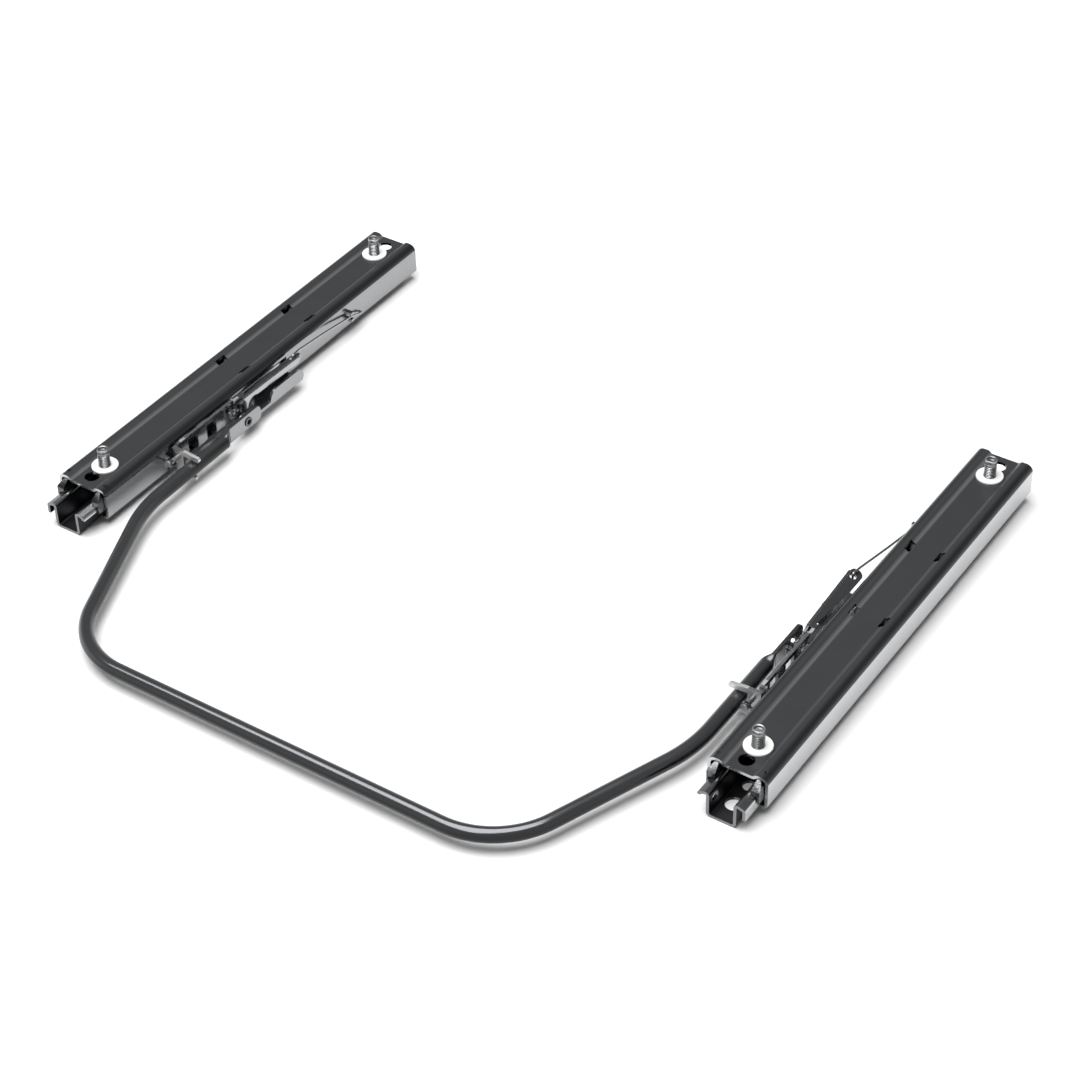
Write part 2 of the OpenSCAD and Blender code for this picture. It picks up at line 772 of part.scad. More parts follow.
// Hollow rivet through the bracket and the flattened end of the bar
module bar_rivet() {
    back_head = 1;
    front_head = 0.6;
    back_diameter = rivet_diameter + 1.4;
    front_diameter = rivet_diameter + 1;
    hollow = 3.8;
    play = 0.15;
    color(zinc) translate([0, pivot_y, pivot_height]) rotate([0, 90, 0]) difference() {
        union() {
            translate([0, 0, bracket_in - back_head]) cylinder(d = back_diameter, h = back_head);
            translate([0, 0, bracket_in]) cylinder(d = rivet_diameter, h = end_out + play - bracket_in);
            translate([0, 0, end_out + play]) cylinder(d = front_diameter, h = front_head);
        }
        translate([0, 0, bracket_out]) cylinder(d = hollow, h = end_out + play + front_head - bracket_out + past);
    }
}

module left_lower_rail() { on_left() lower_rail(); }
module right_lower_rail() { on_right() lower_rail(); }
module left_upper_rail() { on_left() upper_rail(); }
module right_upper_rail() { on_right() upper_rail(); }
module left_front_stud() { on_left() stud(front_stud_y); }
module left_rear_stud() { on_left() stud(rear_stud_y); }
module right_front_stud() { on_right() stud(front_stud_y); }
module right_rear_stud() { on_right() stud(rear_stud_y); }
module left_front_washer() { on_left() washer(front_stud_y); }
module left_rear_washer() { on_left() washer(rear_stud_y); }
module right_front_washer() { on_right() washer(front_stud_y); }
module right_rear_washer() { on_right() washer(rear_stud_y); }
module left_front_inner_shoe() { on_left() front_shoe(); }
module left_front_outer_shoe() { on_left() outer_side() front_shoe(); }
module right_front_inner_shoe() { on_right() front_shoe(); }
module right_front_outer_shoe() { on_right() outer_side() front_shoe(); }
module left_rear_inner_shoe() { on_left() rear_shoe(); }
module left_rear_outer_shoe() { on_left() outer_side() rear_shoe(); }
module right_rear_inner_shoe() { on_right() rear_shoe(); }
module right_rear_outer_shoe() { on_right() outer_side() rear_shoe(); }
module left_lock_lever() { on_left() lock_lever(); }
module right_lock_lever() { on_right() lock_lever(); }
module left_front_lever_pin() { on_left() lever_pin(front_lug_y, fork_y + fork_thickness); }
module left_rear_lever_pin() { on_left() lever_pin(rear_knuckle_y, rear_lug_y + lug_thickness); }
module right_front_lever_pin() { on_right() lever_pin(front_lug_y, fork_y + fork_thickness); }
module right_rear_lever_pin() { on_right() lever_pin(rear_knuckle_y, rear_lug_y + lug_thickness); }
module left_return_spring() { on_left() return_spring(); }
module right_return_spring() { on_right() return_spring(); }
module left_bar_rivet() { on_left() bar_rivet(); }
module right_bar_rivet() { on_right() bar_rivet(); }

left_lower_rail();
right_lower_rail();
left_upper_rail();
right_upper_rail();
left_front_stud();
left_rear_stud();
right_front_stud();
right_rear_stud();
left_front_washer();
left_rear_washer();
right_front_washer();
right_rear_washer();
left_front_inner_shoe();
left_front_outer_shoe();
right_front_inner_shoe();
right_front_outer_shoe();
left_rear_inner_shoe();
left_rear_outer_shoe();
right_rear_inner_shoe();
right_rear_outer_shoe();
left_lock_lever();
right_lock_lever();
left_front_lever_pin();
left_rear_lever_pin();
right_front_lever_pin();
right_rear_lever_pin();
left_return_spring();
right_return_spring();
release_bar();
left_bar_rivet();
right_bar_rivet();
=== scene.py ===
# %% [markdown]
# # Seat slide rails
# A pair of wrapped steel rails carries a vehicle seat. The lower rails bolt to the floor, the upper
# rails slide on them, and a bent bar in front lifts two lock levers out of their racks. Every piece
# could be modelled here from nothing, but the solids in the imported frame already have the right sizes
# and joints. So this lesson starts from them, and adds eased edges, rolled threads and real finishes.

# %% Load the frame
import json
import math

import bmesh
import bpy
from mathutils import Matrix, Vector


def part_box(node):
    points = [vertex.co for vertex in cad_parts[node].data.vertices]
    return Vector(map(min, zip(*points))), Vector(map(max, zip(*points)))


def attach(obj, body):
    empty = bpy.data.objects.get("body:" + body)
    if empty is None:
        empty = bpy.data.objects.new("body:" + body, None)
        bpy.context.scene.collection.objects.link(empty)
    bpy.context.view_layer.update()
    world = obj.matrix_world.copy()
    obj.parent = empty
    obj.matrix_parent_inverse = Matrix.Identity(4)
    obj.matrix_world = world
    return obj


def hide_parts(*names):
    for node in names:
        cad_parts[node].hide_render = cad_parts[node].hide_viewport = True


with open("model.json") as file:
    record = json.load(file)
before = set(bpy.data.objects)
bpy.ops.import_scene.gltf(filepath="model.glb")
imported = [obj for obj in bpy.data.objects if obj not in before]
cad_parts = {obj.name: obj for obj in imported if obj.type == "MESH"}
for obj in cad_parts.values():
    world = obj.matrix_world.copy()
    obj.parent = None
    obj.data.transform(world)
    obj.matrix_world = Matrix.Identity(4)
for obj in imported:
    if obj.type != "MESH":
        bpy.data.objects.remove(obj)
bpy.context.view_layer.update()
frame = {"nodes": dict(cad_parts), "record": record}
scene = bpy.context.scene
MM = 0.001
SIDES = {"left": -1, "right": 1}
ENDS = ["front", "rear"]

# %% [markdown]
# ## Camera
# The photograph was taken with a long lens, from the front right and well above, and the camera leaned
# a little to one side. A Track To constraint would aim a camera but can't lean it. The place, the turn
# and the lens were worked out from the rails and studs, so the camera's own axes are set from numbers.

# %% Camera at the photograph's angle
CAMERA_PLACE = (0.7723, -1.1012, 1.0823)
CAMERA_AZIMUTH = math.radians(34.76)
CAMERA_ELEVATION = math.radians(39.31)
CAMERA_ROLL = math.radians(-1.61)
CAMERA_LENS = 88.12
CAMERA_SENSOR = 36
CAMERA_FAR = 20

back = Vector((
    math.sin(CAMERA_AZIMUTH) * math.cos(CAMERA_ELEVATION),
    -math.cos(CAMERA_AZIMUTH) * math.cos(CAMERA_ELEVATION),
    math.sin(CAMERA_ELEVATION),
))
level_right = (-back).cross(Vector((0, 0, 1))).normalized()
level_up = level_right.cross(-back)
right = math.cos(CAMERA_ROLL) * level_right + math.sin(CAMERA_ROLL) * level_up
up = math.cos(CAMERA_ROLL) * level_up - math.sin(CAMERA_ROLL) * level_right
camera_data = bpy.data.cameras.new("photo_camera")
camera_data.sensor_width = CAMERA_SENSOR
camera_data.lens = CAMERA_LENS
camera_data.clip_end = CAMERA_FAR
camera = bpy.data.objects.new("photo_camera", camera_data)
axes = Matrix((right, up, back)).transposed().to_4x4()
camera.matrix_world = Matrix.Translation(CAMERA_PLACE) @ axes
scene.collection.objects.link(camera)
scene.camera = camera
print("camera looks along", [round(v, 3) for v in -back])

# %% [markdown]
# ## Helpers for finishes
# Colours are written as they look on a screen, and one function turns such a hex value to the linear
# light that the shader works in. Nodes could be wired by hand in the editor. Here one small function
# adds a node, sets its values and makes its links, so that each finish reads from top to bottom. Where
# a whole node is given for a socket, the node's first output is linked.

# %% Colour and node helpers
def linear(hex_colour):
    channels = [int(hex_colour[i:i + 2], 16) / 255 for i in (1, 3, 5)]
    return [c / 12.92 if c <= 0.04045 else ((c + 0.055) / 1.055) ** 2.4 for c in channels] + [1.0]


def add(tree, kind, inputs=None, **settings):
    node = tree.nodes.new(kind)
    for name, value in settings.items():
        setattr(node, name, value)
    for socket, value in (inputs or {}).items():
        if isinstance(value, bpy.types.Node):
            value = value.outputs[0]
        if isinstance(value, bpy.types.NodeSocket):
            tree.links.new(value, node.inputs[socket])
        else:
            node.inputs[socket].default_value = value
    return node


def new_material(name):
    made = bpy.data.materials.new(name)
    made.use_nodes = True
    made.node_tree.nodes.clear()
    return made


print("screen grey #808080 is", round(linear("#808080")[0], 3), "in linear light")

# %% [markdown]
# ## Black electrocoat
# The rails, levers and bar are steel under a thin black electrocoat, laid on in a bath and stoved. To
# the eye it is a dark mirror: side walls show the white floor, and tops show the dim room above. A
# black plastic would lose those reflections, so the coat is a grey metal. Darker copies of it, some
# metal only in part, are painted shade, and a paler copy is painted light. Stoving leaves an orange
# peel, drawn coarser than the real one so that it shows, and handling dulls the gloss in soft patches.

# %% Black electrocoat
ORANGE_PEEL = 1.6 * MM
PEEL_HEIGHT = 0.05 * MM
PEEL_STRENGTH = 0.05
HANDLING_PATCH = 28 * MM
PATCH_GLOSSIER = 0.015
PATCH_DULLER = 0.03
PATCH_SHADES = (0.97, 1.02)


def black_electrocoat(name, colour, roughness, metal_share=1.0, pattern=None):
    material = new_material(name)
    tree = material.node_tree
    place = add(tree, "ShaderNodeTexCoord").outputs["Object"]
    peel = add(tree, "ShaderNodeTexNoise", {
        "Vector": place, "Scale": 1 / ORANGE_PEEL, "Detail": 2.0,
    })
    patches = add(tree, "ShaderNodeTexNoise", {
        "Vector": place, "Scale": 1 / HANDLING_PATCH, "Detail": 5.0, "Roughness": 0.6,
    })
    dulled = add(tree, "ShaderNodeMapRange", {
        "Value": patches.outputs["Fac"], "From Min": 0.35, "From Max": 0.7,
        "To Min": roughness - PATCH_GLOSSIER, "To Max": roughness + PATCH_DULLER,
    })
    shade = add(tree, "ShaderNodeMapRange", {
        "Value": patches.outputs["Fac"], "From Min": 0.3, "From Max": 0.75,
        "To Min": PATCH_SHADES[0], "To Max": PATCH_SHADES[1],
    })
    coat = linear(colour)
    if pattern is not None:
        coat = pattern(tree, coat)
    tint = add(tree, "ShaderNodeMix", {
        "Factor": 1.0, "A": coat, "B": shade.outputs["Result"],
    }, data_type="RGBA", blend_type="MULTIPLY")
    bump = add(tree, "ShaderNodeBump", {
        "Strength": PEEL_STRENGTH, "Distance": PEEL_HEIGHT, "Height": peel.outputs["Fac"],
    })
    shader = add(tree, "ShaderNodeBsdfPrincipled", {
        "Base Color": tint.outputs["Result"], "Metallic": metal_share,
        "Roughness": dulled.outputs["Result"], "Normal": bump.outputs["Normal"],
    })
    add(tree, "ShaderNodeOutputMaterial", {"Surface": shader.outputs["BSDF"]})
    return material


SHEET_FINISH = black_electrocoat("black electrocoat on rail sheet", "#b9babc", 0.19)
# The inward walls of the seat rails get a darker copy of the sheet coat: painted shade.
WALL_SHADE_FINISH = black_electrocoat("black electrocoat on inner walls", "#959698", 0.2)
# The dark coat inside the rails is painted shade in the hollows, on a duller coat.
INSIDE_SHADE_FINISH = black_electrocoat("dull black coat inside the rails", "#37373a", 0.42)
CUT_FINISH = black_electrocoat("black coat on cut ends", "#7c7d80", 0.35)
LEVER_FINISH = black_electrocoat("black electrocoat on levers", "#a8a9ab", 0.2)
# The claws get a darker coat: painted shade beside the rail.
CLAW_SHADE_FINISH = black_electrocoat("black electrocoat on claws", "#6d6e70", 0.32)
# The tongues' tops get a darker, partly metal coat: painted shade, as on the rail tops.
TONGUE_SHADE_FINISH = black_electrocoat("black electrocoat on tongues", "#48494b", 0.2, metal_share=0.42)
# The pressed ends get a paler, fully metal copy of the tube's coat: painted light.
END_LIT_FINISH = black_electrocoat("black electrocoat on pressed ends", "#919294", 0.24)
print("orange peel", ORANGE_PEEL / MM, "mm wide, handling patches", HANDLING_PATCH / MM, "mm")

# %% [markdown]
# ## Coat on the tops of the seat rails
# Each seat rail has a sunk web between two low ridges. On the ridge nearer the light a soft pale line
# runs along the rail, and the sheet is in shade where it rolls over into the walls. A lamp placed for
# that line would light the whole stage, so the line is a painted highlight and the dark edges are
# painted shade, both drawn in the coat's colour by how far across the rail a point lies.

# %% Painted highlight on the ridge and painted shade at the edges
RAIL_X = 247 * MM
RIDGE_OFFSET = -9.6 * MM
RIDGE_WIDTH = 2.1 * MM
RIDGE_HIGHLIGHT_COLOUR = "#77787a"
EDGE_FROM = 13.8 * MM
EDGE_TO = 17.5 * MM
EDGE_SHADE_COLOUR = "#2c2d2e"


# Painted highlight along one ridge and painted shade along both rolled edges, mixed into the coat's
# colour.
def painted_light_across_top(tree, flat):
    place = add(tree, "ShaderNodeTexCoord").outputs["Object"]
    x = add(tree, "ShaderNodeSeparateXYZ", {"Vector": place}).outputs["X"]
    side = add(tree, "ShaderNodeMath", {0: x}, operation="SIGN")
    offset = add(tree, "ShaderNodeMath", {0: side, 1: -RAIL_X, 2: x}, operation="MULTIPLY_ADD")
    past_ridge = add(tree, "ShaderNodeMath", {0: offset, 1: RIDGE_OFFSET}, operation="SUBTRACT")
    distance = add(tree, "ShaderNodeMath", {0: past_ridge}, operation="ABSOLUTE")
    ridge = add(tree, "ShaderNodeMapRange", {
        "Value": distance, "From Min": 0.0, "From Max": RIDGE_WIDTH, "To Min": 1.0, "To Max": 0.0,
    }, interpolation_type="SMOOTHSTEP")
    inset = add(tree, "ShaderNodeMath", {0: offset}, operation="ABSOLUTE")
    edge = add(tree, "ShaderNodeMapRange", {
        "Value": inset, "From Min": EDGE_FROM, "From Max": EDGE_TO,
    }, interpolation_type="SMOOTHSTEP")
    with_ridge_highlight = add(tree, "ShaderNodeMix", {
        "Factor": ridge.outputs["Result"], "A": flat, "B": linear(RIDGE_HIGHLIGHT_COLOUR),
    }, data_type="RGBA")
    return add(tree, "ShaderNodeMix", {
        "Factor": edge.outputs["Result"], "A": with_ridge_highlight.outputs["Result"], "B": linear(EDGE_SHADE_COLOUR),
    }, data_type="RGBA").outputs["Result"]


# The tops take a darker, partly metal copy of the coat as painted shade, with the painted ridge highlight
# and edge shade.
TOP_FINISH = black_electrocoat(
    "black electrocoat on tops", "#48494b", 0.2, metal_share=0.42, pattern=painted_light_across_top,
)
print("ridge line", round(2 * RIDGE_WIDTH / MM, 1), "mm wide on", TOP_FINISH.name)

# %% [markdown]
# ## Coat on the tube
# The bar shows one narrow light line along its upper side and is nearly black below it. A mirror over
# a white floor would be pale below, so the dark lower half is painted shade. The painted shade could
# be a second material, but that leaves a hard line along the tube. So each point of the bar's mesh
# carries a number, and the coat blends into the painted shade by it.

# %% Painted shade on the underside of the tube
UNDERSIDE_SHADE_COLOUR = "#242526"


# Mixes painted shade into the tube's coat by each point's share of it.
def dark_underside(tree, upper):
    below = add(tree, "ShaderNodeAttribute", attribute_name="underside")
    return add(tree, "ShaderNodeMix", {
        "Factor": below.outputs["Fac"], "A": upper, "B": linear(UNDERSIDE_SHADE_COLOUR),
    }, data_type="RGBA").outputs["Result"]


BAR_FINISH = black_electrocoat(
    "black electrocoat on tube", "#5d5e60", 0.17, metal_share=0.72, pattern=dark_underside,
)
print("the tube darkens from", round(linear("#5d5e60")[0], 3), "to", round(linear(UNDERSIDE_SHADE_COLOUR)[0], 3))

# %% [markdown]
# ## Zinc plate
# The studs and hinge pins are turned steel with a thin zinc plate. To the eye it is a pale, slightly
# cloudy metal, and the roots of the thread are painted dark as shade. An even metal would look like
# chrome, so a soft noise, as wide as the clouds on a plated stud, varies both its colour and its
# roughness.

# %% Zinc plate
ZINC_CLOUD = 2.5 * MM
ZINC_ROUGHNESS = (0.24, 0.42)


def zinc_plate(name, dark, light):
    material = new_material(name)
    tree = material.node_tree
    place = add(tree, "ShaderNodeTexCoord").outputs["Object"]
    cloud = add(tree, "ShaderNodeTexNoise", {"Vector": place, "Scale": 1 / ZINC_CLOUD, "Detail": 4.0})
    colour = add(tree, "ShaderNodeMix", {
        "Factor": cloud.outputs["Fac"], "A": linear(dark), "B": linear(light),
    }, data_type="RGBA")
    rough = add(tree, "ShaderNodeMapRange", {
        "Value": cloud.outputs["Fac"], "To Min": ZINC_ROUGHNESS[0], "To Max": ZINC_ROUGHNESS[1],
    })
    shader = add(tree, "ShaderNodeBsdfPrincipled", {
        "Base Color": colour.outputs["Result"], "Metallic": 1.0, "Roughness": rough.outputs["Result"],
    })
    add(tree, "ShaderNodeOutputMaterial", {"Surface": shader.outputs["BSDF"]})
    return material


ZINC_FINISH = zinc_plate("zinc plate", "#8d8f92", "#c3c5c7")
# Dark zinc for the thread roots: painted shade in the grooves.
ROOT_SHADE_FINISH = zinc_plate("zinc plate in the thread roots", "#2b2c2d", "#444546")
print("finishes:", ZINC_FINISH.name, "and", ROOT_SHADE_FINISH.name)

# %% [markdown]
# ## Rubbed steel
# The guide shoes are bare steel, and the levers are rubbed through their coat where they bear. To the
# eye this is a bright metal with fine lines along the rail. The lines could come from a picture, but a
# noise stretched along the rail needs none and fits any piece. Real rub lines are about a tenth of a
# millimetre wide, and they are drawn five times as wide so that they show.

# %% Rubbed steel
RUB_LINE = 0.5 * MM
RUB_STRETCH = 0.08
RUB_DEPTH = 0.03 * MM
RUB_STRENGTH = 0.06
COAT_ROUGHER = 0.12


def rubbed_steel(name, dark, light, roughness):
    material = new_material(name)
    tree = material.node_tree
    place = add(tree, "ShaderNodeTexCoord").outputs["Object"]
    along = add(tree, "ShaderNodeMapping", {"Vector": place, "Scale": (1.0, RUB_STRETCH, 1.0)})
    lines = add(tree, "ShaderNodeTexNoise", {
        "Vector": along.outputs["Vector"], "Scale": 1 / RUB_LINE, "Detail": 3.0,
    })
    worn = add(tree, "ShaderNodeMapRange", {
        "Value": lines.outputs["Fac"], "From Min": 0.35, "From Max": 0.65,
    })
    rough = add(tree, "ShaderNodeMapRange", {
        "Value": worn.outputs["Result"], "To Min": roughness + COAT_ROUGHER, "To Max": roughness,
    })
    bump = add(tree, "ShaderNodeBump", {
        "Strength": RUB_STRENGTH, "Distance": RUB_DEPTH, "Height": lines.outputs["Fac"],
    })
    colour = add(tree, "ShaderNodeMix", {
        "Factor": worn.outputs["Result"], "A": linear(dark), "B": linear(light),
    }, data_type="RGBA")
    shader = add(tree, "ShaderNodeBsdfPrincipled", {
        "Base Color": colour.outputs["Result"], "Metallic": 1.0,
        "Roughness": rough.outputs["Result"], "Normal": bump.outputs["Normal"],
    })
    add(tree, "ShaderNodeOutputMaterial", {"Surface": shader.outputs["BSDF"]})
    return material


SHOE_FINISH = rubbed_steel("bare steel on guide shoes", "#28292a", "#77787a", 0.2)
RUBBED_FINISH = rubbed_steel("rubbed bright steel", "#c2c3c4", "#dadad9", 0.4)
STRIP_FINISH = rubbed_steel("worn coat on lever strips", "#5c5d5f", "#939496", 0.4)
print("rub lines", RUB_LINE / MM, "mm wide on", SHOE_FINISH.name)

# %% [markdown]
# ## White nylon
# The washers are moulded from white nylon. To the eye it is a soft, slightly waxy white. A flat white
# would look like paper, so a little light passes into the surface, and a faint grain from the mould
# breaks up the gloss. The grain is drawn coarser than a real mould's so that it shows.

# %% White nylon
NYLON_GRAIN = 0.7 * MM
GRAIN_DEPTH = 0.04 * MM
GRAIN_STRENGTH = 0.1
NYLON_IOR = 1.53
NYLON_ROUGHNESS = 0.42
NYLON_GLOW = 0.15
GLOW_DEPTH = 2 * MM

NYLON_FINISH = new_material("white nylon")
nylon = NYLON_FINISH.node_tree
place = add(nylon, "ShaderNodeTexCoord").outputs["Object"]
grain = add(nylon, "ShaderNodeTexNoise", {"Vector": place, "Scale": 1 / NYLON_GRAIN, "Detail": 3.0})
colour = add(nylon, "ShaderNodeMix", {
    "Factor": grain.outputs["Fac"], "A": linear("#e8e8e6"), "B": linear("#f5f5f3"),
}, data_type="RGBA")
bump = add(nylon, "ShaderNodeBump", {
    "Strength": GRAIN_STRENGTH, "Distance": GRAIN_DEPTH, "Height": grain.outputs["Fac"],
})
shader = add(nylon, "ShaderNodeBsdfPrincipled", {
    "Base Color": colour.outputs["Result"], "Roughness": NYLON_ROUGHNESS, "IOR": NYLON_IOR,
    "Subsurface Weight": NYLON_GLOW, "Subsurface Radius": [GLOW_DEPTH] * 3,
    "Normal": bump.outputs["Normal"],
})
add(nylon, "ShaderNodeOutputMaterial", {"Surface": shader.outputs["BSDF"]})
print("nylon grain", NYLON_GRAIN / MM, "mm wide")

# %% [markdown]
# ## A finish for each piece
# The frame's record names a body and a material slot for each solid. The finish could be picked piece
# by piece, but a rule by slot keeps left and right alike. The rivets are coated together with the bar,
# and the levers and springs have a coat of their own.

# %% Finish, slot and body of each piece
FINISHES = {
    "black_steel": SHEET_FINISH,
    "zinc_steel": ZINC_FINISH,
    "bright_steel": SHOE_FINISH,
    "white_nylon": NYLON_FINISH,
}
SLOTS = {row["node"]: row["material_slot"] for row in frame["record"]["subparts"]}
BODY_OF = {}
for body, nodes in frame["record"]["behaviour"]["bodies"].items():
    for node in nodes:
        BODY_OF[node] = body


def finish_of(node):
    if node == "release_bar" or node.endswith("bar_rivet"):
        return BAR_FINISH
    if node.endswith("lock_lever") or node.endswith("return_spring"):
        return LEVER_FINISH
    return FINISHES[SLOTS[node]]


for name in sorted({finish_of(node).name for node in frame["nodes"]}):
    print("finish:", name)

# %% [markdown]
# ## From mesh to piece
# A finished piece sits at the origin with its place in its mesh, rides on its solid's body and stands
# for that solid. A piece could keep its modifiers live, but the export wants plain meshes. So each node
# tree or modifier is run on a throwaway holder, and only the mesh that it makes is kept.

# %% Helpers for pieces
PIECES = {}


def stand_for(node, mesh):
    if len(mesh.materials) == 0:
        mesh.materials.append(finish_of(node))
    piece = bpy.data.objects.new(node + "_finished", mesh)
    scene.collection.objects.link(piece)
    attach(piece, BODY_OF[node])
    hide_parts(node)
    PIECES[node] = piece


def mesh_of(shape, name):
    mesh = bpy.data.meshes.new(name)
    shape.to_mesh(mesh)
    shape.free()
    return mesh


def holder_of(mesh):
    holder = bpy.data.objects.new("holder", mesh)
    scene.collection.objects.link(holder)
    return holder


def evaluated_mesh(holder):
    graph = bpy.context.evaluated_depsgraph_get()
    mesh = bpy.data.meshes.new_from_object(holder.evaluated_get(graph), depsgraph=graph)
    bpy.data.objects.remove(holder)
    return mesh


def smooth_shade(mesh, sharp):
    mesh.shade_smooth()
    mesh.set_sharp_from_angle(angle=sharp)


# %% [markdown]
# ## Eased sheet edges
# Blanked and folded sheet never keeps a razor edge, and the small round catches the light. A round node
# in the shader would only fake it, and would be lost in the export. So each solid is copied, its
# triangles are merged back into flat faces, and a Bevel modifier rounds every sharp edge. On the
# levers, those rounds are rubbed through to the steel.

# %% Eased copies of the solids
SHARP = math.radians(38)
FLAT = math.radians(0.8)
SAME_POINT = 0.004 * MM
EASE_STEPS = 2
FULL_WEIGHT = 100
EASE = {
    "_rail": 0.3 * MM, "_shoe": 0.35 * MM, "_lever": 0.3 * MM, "_pin": 0.25 * MM, "_rivet": 0.25 * MM,
}


def flat_faced(node):
    shape = bmesh.new()
    shape.from_mesh(frame["nodes"][node].data)
    bmesh.ops.remove_doubles(shape, verts=shape.verts, dist=SAME_POINT)
    bmesh.ops.dissolve_limit(
        shape, angle_limit=FLAT, verts=shape.verts, edges=shape.edges, use_dissolve_boundaries=False,
    )
    return mesh_of(shape, node + "_eased")


def eased(node, radius):
    mesh = flat_faced(node)
    smooth_shade(mesh, SHARP)
    mesh.materials.clear()
    mesh.materials.append(finish_of(node))
    holder = holder_of(mesh)
    bevel = holder.modifiers.new("ease", "BEVEL")
    bevel.width = radius
    bevel.segments = EASE_STEPS
    bevel.limit_method = "ANGLE"
    bevel.angle_limit = SHARP
    bevel.use_clamp_overlap = True
    if node.endswith("_lever"):
        mesh.materials.append(RUBBED_FINISH)
        bevel.material = len(mesh.materials) - 1
    flatten = holder.modifiers.new("flatten", "WEIGHTED_NORMAL")
    flatten.mode = "FACE_AREA"
    flatten.weight = FULL_WEIGHT
    return evaluated_mesh(holder)


for node in frame["nodes"]:
    for ending, radius in EASE.items():
        if node.endswith(ending):
            stand_for(node, eased(node, radius))
print("eased pieces:", len(PIECES))

# %% [markdown]
# ## Shaded tops, dull shaded insides and cut ends
# The tops of the seat rails take a darker coat that is metal only in part, and their inward walls a
# darker copy of the sheet coat: both are painted shade. Inside a folded rail the coat is dull and
# painted dark as shade, and the blanked front ends of the floor rails are darker than their rolled
# faces. The parts could be painted by hand, but a rail is one long section. So each face is sorted by
# where it lies in that section and which way it looks.

# %% Finishes of the rails
SHEET, INSIDE_SHADE, CUT, TOP, WALL = range(5)
CHANNEL_INSIDE = 8.4 * MM
FLANGE_UNDER = 18.4 * MM
HOOK_INSIDE = 15.4 * MM
UPPER_INSIDE = 18.2 * MM
TOP_FLOOR = 22 * MM
FACING = 0.3
TOP_FACING = 0.4
BEND_FACING = 0.12
CUT_FACING = 0.9


# Channel insides and flange undersides take the dull coat with painted shade.
def lower_rail_slot(face, offset):
    in_channel = abs(offset) < CHANNEL_INSIDE and face.center.z < FLANGE_UNDER
    under_flange = abs(offset) < HOOK_INSIDE and face.normal.z < FACING
    if face.normal.y < -CUT_FACING:
        return CUT
    return INSIDE_SHADE if in_channel or under_flange else SHEET


# Insides take the painted shade, tops the darker top coat and inward walls the darker wall coat, all
# painted shade.
def upper_rail_slot(face, offset, way):
    outward = math.copysign(1, offset) * face.normal.x
    on_wall = abs(offset) > HOOK_INSIDE and outward < -FACING
    if abs(offset) < UPPER_INSIDE and (on_wall or face.normal.z < -FACING):
        return INSIDE_SHADE
    if face.normal.z > BEND_FACING and face.center.z > TOP_FLOOR:
        return TOP
    return WALL if way * face.normal.x < -TOP_FACING else SHEET


for side, way in SIDES.items():
    lower = PIECES[side + "_lower_rail"].data
    upper = PIECES[side + "_upper_rail"].data
    for mesh in (lower, upper):
        for finish in (INSIDE_SHADE_FINISH, CUT_FINISH, TOP_FINISH, WALL_SHADE_FINISH):
            mesh.materials.append(finish)
    for face in lower.polygons:
        face.material_index = lower_rail_slot(face, face.center.x - way * RAIL_X)
    for face in upper.polygons:
        face.material_index = upper_rail_slot(face, face.center.x - way * RAIL_X, way)
    tops = sum(face.material_index == TOP for face in upper.polygons)
    print(side, "seat rail has", tops, "black faces on top")

# %% [markdown]
# ## Worn strip and dark claws on the levers
# Each lock lever is worn along the top of its strip, and rubbed bright where it bears at both ends of
# the strip and on its finger over the bar. Its claws reach into the shade beside the rail, and that
# shade is painted as a darker coat; the top of its tongue is painted dark as shade, like the rails'
# tops. A mask picture would need a UV map. Cutting the mesh across at the ends of the bright spots is
# enough, because all borders are straight.

# %% Finishes of the levers
COAT, RUBBED, CLAW, TONGUE, STRIP = range(5)
RUBBED_SPOTS = [(-83.5 * MM, -78.5 * MM), (-28.5 * MM, -22.0 * MM)]
SPOT_FLOOR = 22.4 * MM
SPOT_INNER = 220.9 * MM
CLAW_INNER = 225.3 * MM
TONGUE_FRONT = -27.0 * MM
FINGER_REAR = -60.0 * MM


def lever_slot(face):
    middle = face.calc_center_median()
    in_spot = any(low < middle.y < high for low, high in RUBBED_SPOTS)
    on_strip = abs(middle.x) > SPOT_INNER and middle.z > SPOT_FLOOR
    on_finger = abs(middle.x) < SPOT_INNER and middle.y < FINGER_REAR
    looks_up = face.normal.z > TOP_FACING
    # Claws take the coat with painted shade.
    if abs(middle.x) > CLAW_INNER:
        return CLAW
    if (on_strip and in_spot) or on_finger:
        return RUBBED
    if on_strip and looks_up:
        return STRIP
    # Upward faces of the tongue take the darker coat, painted shade like the rail tops.
    if face.material_index == COAT and looks_up and middle.y > TONGUE_FRONT:
        return TONGUE
    return face.material_index


for side in SIDES:
    mesh = PIECES[side + "_lock_lever"].data
    for finish in (CLAW_SHADE_FINISH, TONGUE_SHADE_FINISH, STRIP_FINISH):
        mesh.materials.append(finish)
    shape = bmesh.new()
    shape.from_mesh(mesh)
    for spot in RUBBED_SPOTS:
        for y in spot:
            everything = shape.verts[:] + shape.edges[:] + shape.faces[:]
            bmesh.ops.bisect_plane(shape, geom=everything, plane_co=(0, y, 0), plane_no=(0, 1, 0))
    for face in shape.faces:
        face.material_index = lever_slot(face)
    shape.to_mesh(mesh)
    shape.free()
    bright = sum(face.material_index == RUBBED for face in mesh.polygons)
    print(side, "lever has", bright, "bright faces")

# %% [markdown]
# ## Helpers for node trees
# Some pieces follow a rule: a thread climbs round a core, and a rod follows a line. Geometry Nodes build
# such pieces from a few named sizes, so that one tree serves every piece of its kind. Each size is set
# on the modifier by its socket's identifier, before the tree first runs.

